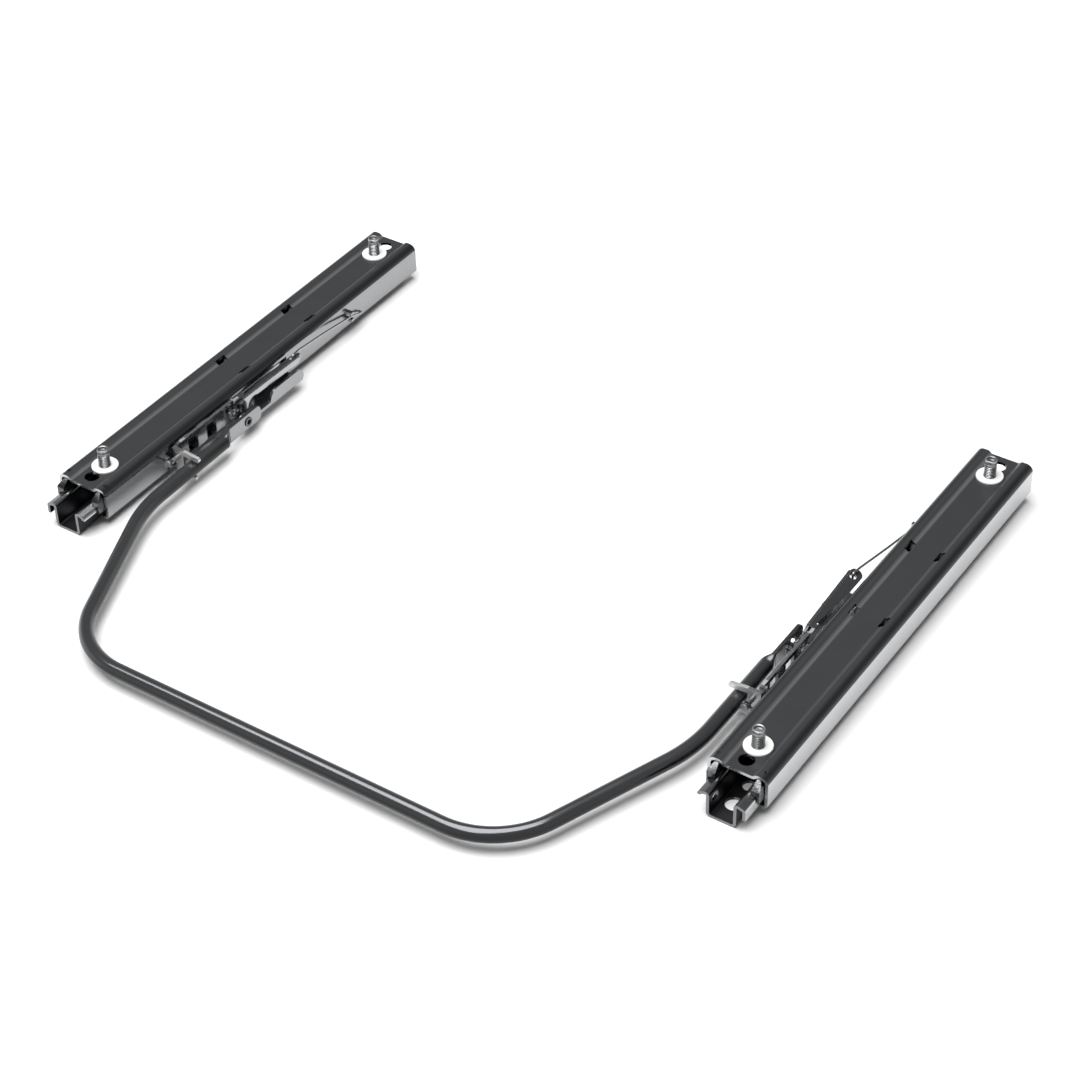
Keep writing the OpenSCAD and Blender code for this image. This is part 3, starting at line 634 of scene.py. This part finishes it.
# %% Node tree helpers
def new_tree(name, sockets):
    tree = bpy.data.node_groups.new(name, "GeometryNodeTree")
    for label, kind in sockets:
        tree.interface.new_socket(label, in_out="INPUT", socket_type=kind)
    tree.interface.new_socket("Geometry", in_out="OUTPUT", socket_type="NodeSocketGeometry")
    return tree, add(tree, "NodeGroupInput").outputs


def end_tree(tree, made, finish):
    solid = add(tree, "GeometryNodeRealizeInstances", {"Geometry": made})
    coated = add(tree, "GeometryNodeSetMaterial", {"Geometry": solid, "Material": finish})
    add(tree, "NodeGroupOutput", {"Geometry": coated})
    print(tree.name, "has", len(tree.nodes), "nodes")


def run_tree(tree, values, source):
    holder = holder_of(source)
    modifier = holder.modifiers.new("build", "NODES")
    modifier.node_group = tree
    for name, value in values.items():
        modifier[tree.interface.items_tree[name].identifier] = value
    return evaluated_mesh(holder)


print("node trees before the first piece:", len(bpy.data.node_groups))

# %% [markdown]
# ## Rolled thread
# A thread is a cylinder whose radius rises and falls once for each pitch, and the wave climbs one pitch
# for each turn. A Screw modifier could turn a profile, but its ends stay blunt. Here a flat grid is
# wrapped round the stud, so that near both ends the wave can run out into the core, as a rolled thread
# does.

# %% Radius of the thread
WAVE_TOP = 0.5
RUN_OUT_SHARE = 1.1

thread_tree, asked = new_tree("rolled thread", [
    ("Outside Radius", "NodeSocketFloat"),
    ("Pitch", "NodeSocketFloat"),
    ("Depth", "NodeSocketFloat"),
    ("Length", "NodeSocketFloat"),
    ("Centre", "NodeSocketVector"),
    ("Finish", "NodeSocketMaterial"),
])
position = add(thread_tree, "GeometryNodeInputPosition")
flat = add(thread_tree, "ShaderNodeSeparateXYZ", {"Vector": position}).outputs
climbed = add(thread_tree, "ShaderNodeMath", {0: flat["Y"], 1: asked["Pitch"]}, operation="DIVIDE")
turned = add(thread_tree, "ShaderNodeMath", {0: flat["X"], 1: math.tau}, operation="DIVIDE")
phase = add(thread_tree, "ShaderNodeMath", {0: climbed, 1: turned}, operation="SUBTRACT")
wave = add(thread_tree, "ShaderNodeMath", {0: phase, 1: WAVE_TOP}, operation="PINGPONG")
share = add(thread_tree, "ShaderNodeMath", {0: wave, 1: 1 / WAVE_TOP}, operation="MULTIPLY")
cut = add(thread_tree, "ShaderNodeMath", {0: share, 1: asked["Depth"]}, operation="MULTIPLY")
crest = add(thread_tree, "ShaderNodeMath", {0: asked["Outside Radius"], 1: cut}, operation="SUBTRACT")
sunk = add(thread_tree, "ShaderNodeMath", {0: asked["Depth"], 1: RUN_OUT_SHARE}, operation="MULTIPLY")
core = add(thread_tree, "ShaderNodeMath", {0: asked["Outside Radius"], 1: sunk}, operation="SUBTRACT")
half = add(thread_tree, "ShaderNodeMath", {0: asked["Length"], 1: 0.5}, operation="MULTIPLY")
from_middle = add(thread_tree, "ShaderNodeMath", {0: flat["Y"]}, operation="ABSOLUTE")
to_end = add(thread_tree, "ShaderNodeMath", {0: half, 1: from_middle}, operation="SUBTRACT")
run_out = add(thread_tree, "ShaderNodeMath", {
    0: to_end, 1: asked["Pitch"],
}, operation="DIVIDE", use_clamp=True)
radius = add(thread_tree, "ShaderNodeMix", {"Factor": run_out, "A": core, "B": crest}).outputs["Result"]
print("the wave takes", len(thread_tree.nodes), "nodes")

# %% Grid wrapped into a thread
ROWS_PER_PITCH = 12
COLUMNS = 73
SEAM = 0.002 * MM

pitches = add(thread_tree, "ShaderNodeMath", {0: asked["Length"], 1: asked["Pitch"]}, operation="DIVIDE")
rows = add(thread_tree, "ShaderNodeMath", {0: pitches, 1: ROWS_PER_PITCH}, operation="MULTIPLY")
grid = add(thread_tree, "GeometryNodeMeshGrid", {
    "Size X": math.tau, "Size Y": asked["Length"], "Vertices X": COLUMNS, "Vertices Y": rows,
})
cosine = add(thread_tree, "ShaderNodeMath", {0: flat["X"]}, operation="COSINE")
sine = add(thread_tree, "ShaderNodeMath", {0: flat["X"]}, operation="SINE")
around_x = add(thread_tree, "ShaderNodeMath", {0: radius, 1: cosine}, operation="MULTIPLY")
around_y = add(thread_tree, "ShaderNodeMath", {0: radius, 1: sine}, operation="MULTIPLY")
wrapped = add(thread_tree, "ShaderNodeCombineXYZ", {"X": around_x, "Y": around_y, "Z": flat["Y"]})
placed = add(thread_tree, "ShaderNodeVectorMath", {0: wrapped, 1: asked["Centre"]}, operation="ADD")
bent = add(thread_tree, "GeometryNodeSetPosition", {"Geometry": grid, "Position": placed})
closed = add(thread_tree, "GeometryNodeMergeByDistance", {"Geometry": bent, "Distance": SEAM})
end_tree(thread_tree, closed, asked["Finish"])

# %% [markdown]
# ## Lathe
# Studs and washers are turned or moulded round an axis. A Screw modifier would do, but it leaves a seam
# and a pole to close. A short function that lays rings of points and joins them gives closed walls
# straight away, from a profile of distances and heights.

# %% Lathe
LATHE_STEPS = 64
TURNED_SHARP = math.radians(50)
SAME_RING = 0.001 * MM


def lathe(profile, centre):
    shape = bmesh.new()
    rings = []
    for distance, height in profile:
        if distance == 0:
            rings.append([shape.verts.new((centre.x, centre.y, height))] * LATHE_STEPS)
            continue
        rings.append([shape.verts.new((
            centre.x + distance * math.cos(math.tau * k / LATHE_STEPS),
            centre.y + distance * math.sin(math.tau * k / LATHE_STEPS),
            height,
        )) for k in range(LATHE_STEPS)])
    for low, high in zip(rings, rings[1:]):
        for k in range(LATHE_STEPS):
            after = (k + 1) % LATHE_STEPS
            corners = [low[k], low[after], high[after], high[k]]
            shape.faces.new(list(dict.fromkeys(corners)))
    bmesh.ops.remove_doubles(shape, verts=shape.verts, dist=SAME_RING)
    return mesh_of(shape, "lathe")


def joined(*meshes):
    shape = bmesh.new()
    for mesh in meshes:
        shape.from_mesh(mesh)
    return mesh_of(shape, "joined")


print("the lathe turns in", LATHE_STEPS, "steps")

# %% [markdown]
# ## Studs
# Each stud has a flat head under the web, a shank at the root of its thread, and a plain dog point with
# a wide cup in its end. It could be one solid, but the solid's shank is smooth. So the body comes from
# the lathe, the thread wraps its shank, and the faces deep in the thread get painted shade.

# %% Four studs
STUD_RADIUS = 4.0 * MM
THREAD_PITCH = 1.25 * MM
THREAD_DEPTH = 0.7 * MM
CORE_RADIUS = STUD_RADIUS - THREAD_DEPTH
ROOT_RADIUS = STUD_RADIUS - 0.4 * MM
HEAD_RADIUS = 7.0 * MM
HEAD_HEIGHT = 3.0 * MM
HEAD_ROUND = 0.3 * MM
POINT_RADIUS = STUD_RADIUS - 0.25 * MM
POINT_HEIGHT = 3.4 * MM
POINT_FOOT = [(0.3 * MM, -0.2 * MM), (0.0, 0.1 * MM)]
POINT_CUP = [
    (0.0, 0.5 * MM), (0.12 * MM, 0.15 * MM), (0.5 * MM, 0.0), (1.1 * MM, 0.3 * MM), (1.4 * MM, 1.7 * MM),
]
PLATED, ROOT_SHADE = range(2)


def stud_profile(bottom, top):
    collar = bottom + HEAD_HEIGHT
    shoulder = top - POINT_HEIGHT
    head = [(0, bottom), (HEAD_RADIUS - HEAD_ROUND, bottom), (HEAD_RADIUS, bottom + HEAD_ROUND)]
    shank = [(HEAD_RADIUS, collar), (CORE_RADIUS, collar), (CORE_RADIUS, shoulder + POINT_FOOT[0][1])]
    foot = [(POINT_RADIUS - inset, shoulder + rise) for inset, rise in POINT_FOOT]
    cup = [(POINT_RADIUS - inset, top - drop) for inset, drop in POINT_CUP]
    return head + shank + foot + cup + [(0, cup[-1][1])]


def threaded_stud(bottom, top, centre):
    collar = bottom + HEAD_HEIGHT
    shoulder = top - POINT_HEIGHT
    length = shoulder - collar
    thread = run_tree(thread_tree, {
        "Outside Radius": STUD_RADIUS, "Pitch": THREAD_PITCH, "Depth": THREAD_DEPTH, "Length": length,
        "Centre": (centre.x, centre.y, collar + length / 2), "Finish": ZINC_FINISH,
    }, bpy.data.meshes.new("empty"))
    mesh = joined(lathe(stud_profile(bottom, top), centre), thread)
    mesh.materials.append(ZINC_FINISH)
    mesh.materials.append(ROOT_SHADE_FINISH)
    # Faces deep in the thread take the painted shade.
    for face in mesh.polygons:
        reach = (face.center.xy - centre.xy).length
        on_thread = collar < face.center.z < shoulder - THREAD_PITCH
        deep = CORE_RADIUS < reach < ROOT_RADIUS
        face.material_index = ROOT_SHADE if on_thread and deep else PLATED
    smooth_shade(mesh, TURNED_SHARP)
    return mesh


for side in SIDES:
    for end in ENDS:
        node = f"{side}_{end}_stud"
        low, high = (Vector(corner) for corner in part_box(node))
        stand_for(node, threaded_stud(low.z, high.z, (low + high) / 2))
        print(node, "is", round((high.z - low.z) / MM, 1), "mm long")

# %% [markdown]
# ## Washers
# A moulded washer is a flat ring that just clears the thread. A bevelled cylinder would do, but the lathe
# is at hand, and its profile has a small round at every corner except the lower edge of the bore.

# %% Four washers
WASHER_BORE = STUD_RADIUS + 0.05 * MM
WASHER_ROUND = 0.25 * MM
for side in SIDES:
    for end in ENDS:
        node = f"{side}_{end}_washer"
        low, high = (Vector(corner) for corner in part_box(node))
        edge = (high.x - low.x) / 2
        mesh = lathe([
            (WASHER_BORE, low.z), (edge - WASHER_ROUND, low.z), (edge, low.z + WASHER_ROUND),
            (edge, high.z - WASHER_ROUND), (edge - WASHER_ROUND, high.z),
            (WASHER_BORE + WASHER_ROUND, high.z), (WASHER_BORE, high.z - WASHER_ROUND),
            (WASHER_BORE, low.z),
        ], (low + high) / 2)
        smooth_shade(mesh, SHARP)
        stand_for(node, mesh)
print("washers with a bore of", round(2 * WASHER_BORE / MM, 2), "mm")

# %% [markdown]
# ## Bent tube and wire
# The release bar and the return springs are straight runs with a bend at each corner, made on a bending
# machine. A curve object with a bevel could follow them, but its bends are drawn by handles and not by a
# radius. This tree takes a line whose corners carry their bend radius, fillets it, and sweeps a round
# section along it.

# %% Swept rod node tree
SECTION_STEPS = 40

sweep_tree, asked = new_tree("swept rod", [
    ("Line", "NodeSocketGeometry"),
    ("Rod Radius", "NodeSocketFloat"),
    ("Bend Steps", "NodeSocketInt"),
    ("Finish", "NodeSocketMaterial"),
])
line = add(sweep_tree, "GeometryNodeMeshToCurve", {"Mesh": asked["Line"]})
bend = add(sweep_tree, "GeometryNodeInputNamedAttribute", {"Name": "bend"}, data_type="FLOAT")
rounded = add(sweep_tree, "GeometryNodeFilletCurve", {
    "Curve": line, "Count": asked["Bend Steps"], "Radius": bend.outputs["Attribute"],
}, mode="POLY")
section = add(sweep_tree, "GeometryNodeCurvePrimitiveCircle", {
    "Resolution": SECTION_STEPS, "Radius": asked["Rod Radius"],
})
swept = add(sweep_tree, "GeometryNodeCurveToMesh", {
    "Curve": rounded, "Profile Curve": section, "Fill Caps": True,
})
end_tree(sweep_tree, swept, asked["Finish"])


def sweep(points, bends, rod_radius, steps, finish):
    mesh = bpy.data.meshes.new("line")
    mesh.from_pydata(points, [(k, k + 1) for k in range(len(points) - 1)], [])
    layer = mesh.attributes.new("bend", "FLOAT", "POINT")
    for item, value in zip(layer.data, bends):
        item.value = value
    made = run_tree(sweep_tree, {"Rod Radius": rod_radius, "Bend Steps": steps, "Finish": finish}, mesh)
    smooth_shade(made, TURNED_SHARP)
    return made


# %% [markdown]
# ## Pressed ends of the release bar
# Each end of the tube is pressed flat and drilled for its rivet, so its section goes from a circle to a
# thin plate with rounded corners. Squeezing a mesh with a lattice would blur the plate's edges. Rings of
# points whose outline goes from round to nearly square keep them clear, and a Boolean modifier drills
# the hole.

# %% Rings of a pressed end
LEG_X = 209.2 * MM
END_X = 210.9 * MM
BAR_REACH = 238.5 * MM
BAR_DROOP = 1.9 * MM
PIVOT = Vector((0, -29 * MM, 13.6 * MM))
TUBE_RADIUS = 5 * MM
ROUND_END = 27 * MM
FLAT_START = 19.5 * MM
PLATE_REAR = 13.5 * MM
PLATE_CORNER = 3.5 * MM
PLATE_HALF_X = 1.5 * MM
PLATE_HALF_Z = 6 * MM
SQUARENESS = 2.4
BLEND_STEPS = 12
CORNER_STEPS = 8
RING_STEPS = 48

droop = Matrix.Rotation(math.asin(BAR_DROOP / BAR_REACH), 4, "X")
tip = Matrix.Translation(PIVOT) @ droop


def soft_step(share):
    return share * share * (3 - 2 * share)


def end_stations():
    stations = []
    for k in range(BLEND_STEPS + 1):
        share = k / BLEND_STEPS
        stations.append((-ROUND_END + (ROUND_END - FLAT_START) * share, soft_step(share), 1.0))
    for k in range(CORNER_STEPS + 1):
        angle = math.pi / 2 * k / CORNER_STEPS
        lost = PLATE_CORNER * (1 - math.cos(angle))
        stations.append((PLATE_REAR - PLATE_CORNER * (1 - math.sin(angle)), 1.0, 1 - lost / PLATE_HALF_Z))
    return stations


def end_ring(side, y, flat_share, height):
    half_x = TUBE_RADIUS + (PLATE_HALF_X - TUBE_RADIUS) * flat_share
    half_z = (TUBE_RADIUS + (PLATE_HALF_Z - TUBE_RADIUS) * flat_share) * height
    middle = LEG_X + (END_X - LEG_X) * flat_share
    power = 1 / (1 + SQUARENESS * flat_share)
    ring = []
    for j in range(RING_STEPS):
        angle = math.tau * (j + 0.5) / RING_STEPS
        across = math.copysign(abs(math.cos(angle)) ** power, math.cos(angle))
        upward = math.copysign(abs(math.sin(angle)) ** power, math.sin(angle))
        ring.append(tip @ Vector((side * middle + half_x * across, y, half_z * upward)))
    return ring


print("a pressed end has", len(end_stations()), "rings of", RING_STEPS, "points")

# %% Drilled ends
RIVET_BORE = 3.05 * MM
DRILL_LENGTH = 12 * MM
DRILL_STEPS = 40


def drill_for(side):
    shape = bmesh.new()
    place = Matrix.Translation(tip @ Vector((side * END_X, 0, 0)))
    bmesh.ops.create_cone(
        shape, cap_ends=True, segments=DRILL_STEPS, radius1=RIVET_BORE, radius2=RIVET_BORE,
        depth=DRILL_LENGTH, matrix=place @ Matrix.Rotation(math.pi / 2, 4, "Y"),
    )
    return holder_of(mesh_of(shape, "drill"))


def pressed_end(side):
    shape = bmesh.new()
    rings = []
    for station in end_stations():
        rings.append([shape.verts.new(point) for point in end_ring(side, *station)])
    for first, second in zip(rings, rings[1:]):
        for j in range(RING_STEPS):
            after = (j + 1) % RING_STEPS
            shape.faces.new([first[j], first[after], second[after], second[j]])
    shape.faces.new(rings[0])
    shape.faces.new(rings[-1])
    bmesh.ops.recalc_face_normals(shape, faces=shape.faces)
    drill = drill_for(side)
    holder = holder_of(mesh_of(shape, "pressed_end"))
    bore = holder.modifiers.new("bore", "BOOLEAN")
    bore.operation = "DIFFERENCE"
    bore.solver = "EXACT"
    bore.object = drill
    finished = evaluated_mesh(holder)
    bpy.data.objects.remove(drill)
    return finished


bar_ends = [pressed_end(way) for way in SIDES.values()]
print("two ends with", sum(len(mesh.polygons) for mesh in bar_ends), "faces")

# %% [markdown]
# ## Release bar
# The tube runs forward from one pivot, swings in, crosses in front of the rails and comes back. Two
# halves could be mirrored, but then a seam crosses the middle. So the line alone is mirrored, and one
# sweep follows all of it. The number that blends in the painted shade below is worked out from each
# point's normal.

# %% Release bar
LEG_STRAIGHT = 110 * MM
LEG_SWEEP = math.radians(21.7)
LEG_BEND = 100 * MM
FRONT_BEND = 56 * MM
BAR_BEND_STEPS = 24
BAR_SHARP = math.radians(40)
UNDERSIDE_FROM = 0.72
UNDERSIDE_TO = 0.35
TUBE, PRESSED = range(2)

ahead = Vector((math.sin(LEG_SWEEP), -math.cos(LEG_SWEEP), 0))
leg_corner = Vector((-LEG_X, -LEG_STRAIGHT, 0))
front_corner = leg_corner + ahead * (BAR_REACH - LEG_STRAIGHT) / math.cos(LEG_SWEEP)
half_line = [Vector((-LEG_X, -ROUND_END, 0)), leg_corner, front_corner]
bar_line = half_line + [Vector((-p.x, p.y, p.z)) for p in reversed(half_line)]
bar_bends = [0, LEG_BEND, FRONT_BEND, FRONT_BEND, LEG_BEND, 0]
tube = sweep([tip @ p for p in bar_line], bar_bends, TUBE_RADIUS, BAR_BEND_STEPS, BAR_FINISH)
bar_mesh = joined(tube, *bar_ends)
bar_mesh.materials.append(BAR_FINISH)
# The pressed ends take the paler coat, painted light.
bar_mesh.materials.append(END_LIT_FINISH)
for face in bar_mesh.polygons:
    face.material_index = PRESSED if face.center.y > PIVOT.y - FLAT_START else TUBE
smooth_shade(bar_mesh, BAR_SHARP)
# Each point's share of the painted shade below, from its normal.
underside = bar_mesh.attributes.new("underside", "FLOAT", "POINT")
for item, vertex in zip(underside.data, bar_mesh.vertices):
    share = (UNDERSIDE_FROM - vertex.normal.z) / (UNDERSIDE_FROM - UNDERSIDE_TO)
    item.value = soft_step(min(max(share, 0), 1))
stand_for("release_bar", bar_mesh)
print("release bar reaches", round(BAR_REACH / MM, 1), "mm in front of its pivots")

# %% [markdown]
# ## Return springs
# A wire hooks up through the tongue of each lever, runs back along the rail and turns in through its
# wall. It could be swept along a free curve, but a formed wire is straight runs and bends, like the bar.
# So the same tree sweeps it, along points given from the tongue's hole and the rail's wall.

# %% Return springs
WIRE_RADIUS = 0.8 * MM
WIRE_BEND_STEPS = 8
HOLE_INSET = 27.74
HOLE_Y = 33.8
HOLE_Z = 22.71
WALL_OUTSIDE = 20.0
WALL_INSIDE = 18.0
PIN_Z = 19.0
WIRE_POINTS = [
    (HOLE_INSET, HOLE_Y, HOLE_Z - 1.6),
    (HOLE_INSET, HOLE_Y, HOLE_Z + 4.0),
    (HOLE_INSET - 0.8, HOLE_Y + 8, HOLE_Z + 3.7),
    (WALL_OUTSIDE + 4.5, HOLE_Y + 40, PIN_Z + 2.0),
    (WALL_OUTSIDE + 2.8, HOLE_Y + 73, PIN_Z - 3.8),
    (WALL_OUTSIDE + 2.4, HOLE_Y + 86, PIN_Z - 8.0),
    (WALL_INSIDE - 0.7, HOLE_Y + 86, PIN_Z - 8.0),
]
WIRE_BENDS = [0, 1.4 * MM, 20 * MM, 60 * MM, 20 * MM, 1.4 * MM, 0]
for side, way in SIDES.items():
    points = [(way * (RAIL_X - inset * MM), y * MM, z * MM) for inset, y, z in WIRE_POINTS]
    wire = sweep(points, WIRE_BENDS, WIRE_RADIUS, WIRE_BEND_STEPS, LEVER_FINISH)
    stand_for(side + "_return_spring", wire)
print("pieces in all:", len(PIECES), "for", len(frame["nodes"]), "nodes")

# %% [markdown]
# ## Floor
# The photograph shows a white sweep that has no visible edge. A curved backdrop would do, but from this
# height the camera sees only floor, so one flat square of white paper is enough.

# %% Floor
FLOOR_HALF = 1.7
PAPER_COLOUR = "#f7f7f7"
floor_mesh = bpy.data.meshes.new("floor")
corners = [(-1, -1), (1, -1), (1, 1), (-1, 1)]
floor_mesh.from_pydata([(x * FLOOR_HALF, y * FLOOR_HALF, 0) for x, y in corners], [], [(0, 1, 2, 3)])
floor = bpy.data.objects.new("floor", floor_mesh)
scene.collection.objects.link(floor)
paper = new_material("white paper sweep")
paper_shader = add(paper.node_tree, "ShaderNodeBsdfDiffuse", {"Color": linear(PAPER_COLOUR)})
add(paper.node_tree, "ShaderNodeOutputMaterial", {"Surface": paper_shader.outputs["BSDF"]})
floor_mesh.materials.append(paper)
print("floor is", 2 * FLOOR_HALF, "m wide")

# %% [markdown]
# ## Light
# The shadows in the photograph are soft and lie close to the rails. A small lamp would draw hard ones, so
# one broad soft box hangs overhead. The upper room is dim, so the glossy tops stay dark as they do on
# the real rails, and it is bright near the horizon, so the side walls stay light.

# %% Soft box and room
SOFT_BOX_PLACE = Vector((-0.25, -0.35, 2.5))
SOFT_BOX_AIM = Vector((0, 0.1, 0))
SOFT_BOX_SIZE = 2.5
SOFT_BOX_WATTS = 114
ROOM_AT_HORIZON = 0.95
ROOM_OVERHEAD = 0.1
DIM_FROM = 0.5

lamp = bpy.data.lights.new("soft_box_over", "AREA")
lamp.shape = "SQUARE"
lamp.size = SOFT_BOX_SIZE
lamp.energy = SOFT_BOX_WATTS
soft_box = bpy.data.objects.new("soft_box_over", lamp)
aim = (SOFT_BOX_AIM - SOFT_BOX_PLACE).to_track_quat("-Z", "Y")
soft_box.matrix_world = Matrix.Translation(SOFT_BOX_PLACE) @ aim.to_matrix().to_4x4()
scene.collection.objects.link(soft_box)

room = bpy.data.worlds.new("room")
room.use_nodes = True
room.node_tree.nodes.clear()
heading = add(room.node_tree, "ShaderNodeTexCoord")
split = add(room.node_tree, "ShaderNodeSeparateXYZ", {"Vector": heading.outputs["Generated"]})
level = add(room.node_tree, "ShaderNodeMapRange", {
    "Value": split.outputs["Z"], "From Min": 0.0, "From Max": DIM_FROM,
    "To Min": ROOM_AT_HORIZON, "To Max": ROOM_OVERHEAD,
})
sky = add(room.node_tree, "ShaderNodeBackground", {
    "Color": linear("#ffffff"), "Strength": level.outputs["Result"],
})
add(room.node_tree, "ShaderNodeOutputWorld", {"Surface": sky.outputs["Background"]})
scene.world = room
scene.view_settings.view_transform = "Standard"
print("soft box of", SOFT_BOX_WATTS, "W, room from", ROOM_AT_HORIZON, "down to", ROOM_OVERHEAD)
